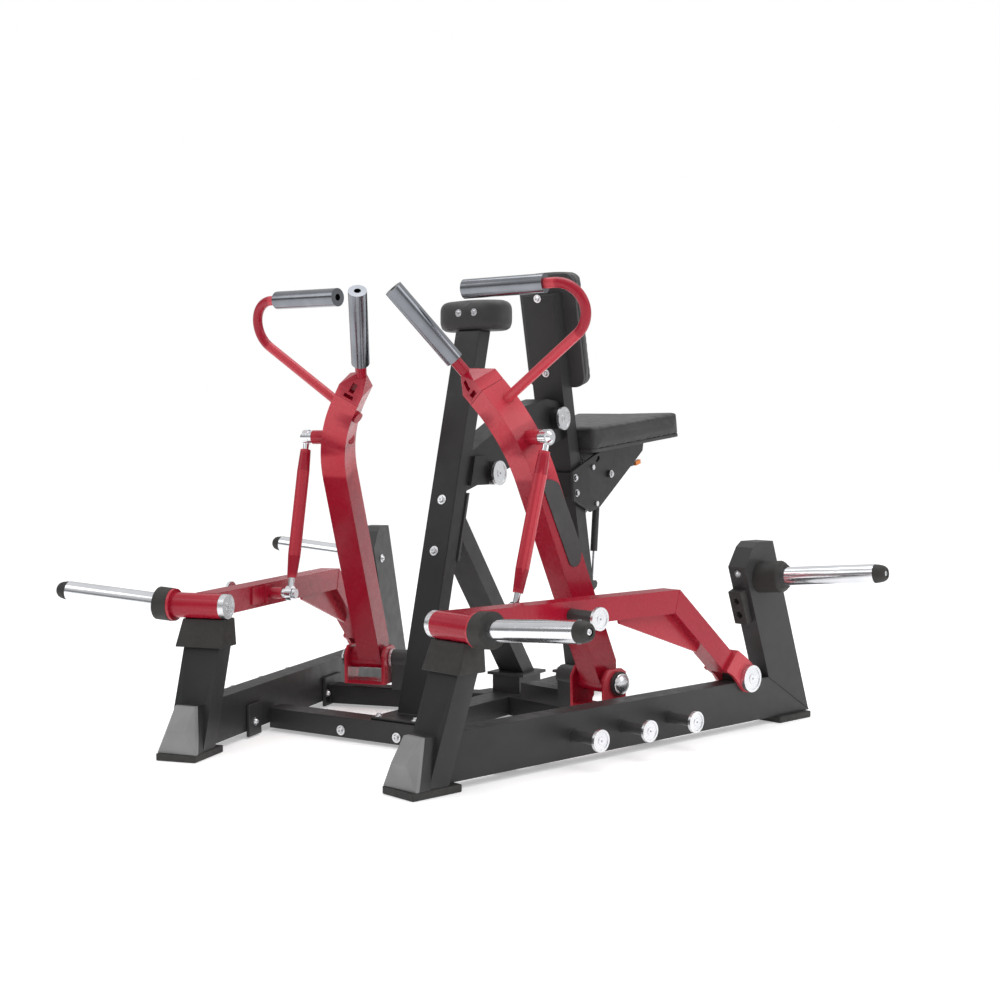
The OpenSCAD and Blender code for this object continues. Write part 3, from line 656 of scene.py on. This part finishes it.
def at_centre(place):
    """Translation to a place (distance behind the front foot line, height) on the mirror plane."""
    return Matrix.Translation((0, place[0] - Y_MID, place[1]))


pad("seat_cushion", "seat_body", at_centre(SEAT_PLACE) @ Matrix.Rotation(math.radians(SEAT_SLOPE), 4, "X"),
    axis=(0, 0, 1), board=0.010, voxel=0.0055, rounding=1, pressure=2.0, cap=0.003, seams=(0.068,))
pad("chest_pad", "frame_body", mast_matrix() @ Matrix.Translation((0, *CHEST_PLACE)),
    axis=(0, 1, 0), board=0.010, voxel=0.005, rounding=9, pressure=3.0, cap=0.005, seams=(0.014,))
pad("hand_rest", "frame_body", at_centre(REST_PLACE),
    axis=(0, 0, 1), board=0.006, voxel=0.005, rounding=4, pressure=3.0, cap=0.005)


# ---------- stage, light and camera ----------
def sky_strength(tree):
    """Light of the studio: stronger from above, with a darker band that polished tubes mirror."""
    coords = tree.nodes.new("ShaderNodeTexCoord")
    facing = tree.nodes.new("ShaderNodeVectorMath")
    facing.operation = "DOT_PRODUCT"
    facing.inputs[1].default_value = Vector((0.35, 0.20, 0.90)).normalized()
    link(tree, coords.outputs["Generated"], facing.inputs[0])
    level = tree.nodes.new("ShaderNodeMapRange")
    level.inputs["From Min"].default_value = -0.8
    level.inputs["To Min"].default_value = 0.12
    level.inputs["To Max"].default_value = 0.95
    link(tree, facing.outputs["Value"], level.inputs["Value"])
    axes = tree.nodes.new("ShaderNodeSeparateXYZ")
    link(tree, coords.outputs["Generated"], axes.inputs[0])
    height = tree.nodes.new("ShaderNodeMapRange")
    height.inputs["From Min"].default_value = -1.0
    link(tree, axes.outputs["Z"], height.inputs["Value"])
    band = tree.nodes.new("ShaderNodeValToRGB")
    stops = band.color_ramp.elements
    stops[0].position, stops[0].color = 0.50, (0.85, 0.85, 0.85, 1)
    stops[1].position, stops[1].color = 0.56, (0.62, 0.62, 0.64, 1)
    for place, grey in ((0.62, 0.66), (0.68, 1.1), (1.0, 1.0)):
        stops.new(place).color = (grey, grey, grey, 1)
    link(tree, height.outputs["Result"], band.inputs["Fac"])
    strength = tree.nodes.new("ShaderNodeMath")
    strength.operation = "MULTIPLY"
    link(tree, level.outputs["Result"], strength.inputs[0])
    link(tree, band.outputs["Color"], strength.inputs[1])
    return strength.outputs["Value"]


def studio_sky():
    """World that lights the row softly and is plain white behind it."""
    world = bpy.data.worlds.new("studio")
    bpy.context.scene.world = world
    world.use_nodes = True
    tree = world.node_tree
    sky = tree.nodes["Background"]
    seen = tree.nodes.new("ShaderNodeLightPath")
    choice = tree.nodes.new("ShaderNodeMix")
    choice.inputs[MIX_HIGH].default_value = 1.0
    link(tree, seen.outputs["Is Camera Ray"], choice.inputs[MIX_FACTOR])
    link(tree, sky_strength(tree), choice.inputs[MIX_LOW])
    link(tree, choice.outputs[MIX_VALUE], sky.inputs["Strength"])
    sky.inputs["Color"].default_value = (1, 1, 1, 1)


def studio_floor():
    """Near-white floor that takes faint shadows."""
    mat, _, bsdf = new_material("pale_floor")
    bsdf.inputs["Base Color"].default_value = (0.93, 0.93, 0.93, 1)
    bsdf.inputs["Roughness"].default_value = 0.9
    bsdf.inputs["Specular IOR Level"].default_value = 0.0
    bsdf.inputs["Emission Color"].default_value = (1, 1, 1, 1)
    bsdf.inputs["Emission Strength"].default_value = 0.35
    bm = bmesh.new()
    bmesh.ops.create_grid(bm, x_segments=1, y_segments=1, size=30)
    floor = bpy.data.objects.new("floor", mesh_of(bm, "floor"))
    floor.location.z = -0.0005
    floor.data.materials.append(mat)
    bpy.context.scene.collection.objects.link(floor)


def softbox(name, place, target, size, power):
    """Rectangular light that faces a target."""
    data = bpy.data.lights.new(name, "AREA")
    data.shape = "RECTANGLE"
    data.size, data.size_y = size
    data.energy = power
    light = bpy.data.objects.new(name, data)
    light.location = place
    light.rotation_euler = (Vector(target) - Vector(place)).to_track_quat("-Z", "Y").to_euler()
    bpy.context.scene.collection.objects.link(light)


studio_sky()
studio_floor()
softbox("key", (-3.0, -3.2, 3.4), (0, 0, 0.5), (2.4, 2.4), 24)
softbox("side", (4.2, 0.6, 2.2), (0, 0, 0.5), (1.6, 3.0), 22)
softbox("top", (0.2, 0.2, 4.2), (0, 0, 0.4), (3.0, 3.0), 58)

camera = bpy.data.objects.new("camera", bpy.data.cameras.new("camera"))
camera.data.sensor_width = 36
camera.data.lens = 53.892
camera.location = (2.27963, -2.62283 - Y_MID, 0.78987)
camera.rotation_euler = (math.radians(90 - 2.4154), 0, math.radians(32.734))
bpy.context.scene.collection.objects.link(camera)
bpy.context.scene.camera = camera
bpy.context.scene.view_settings.view_transform = "Standard"
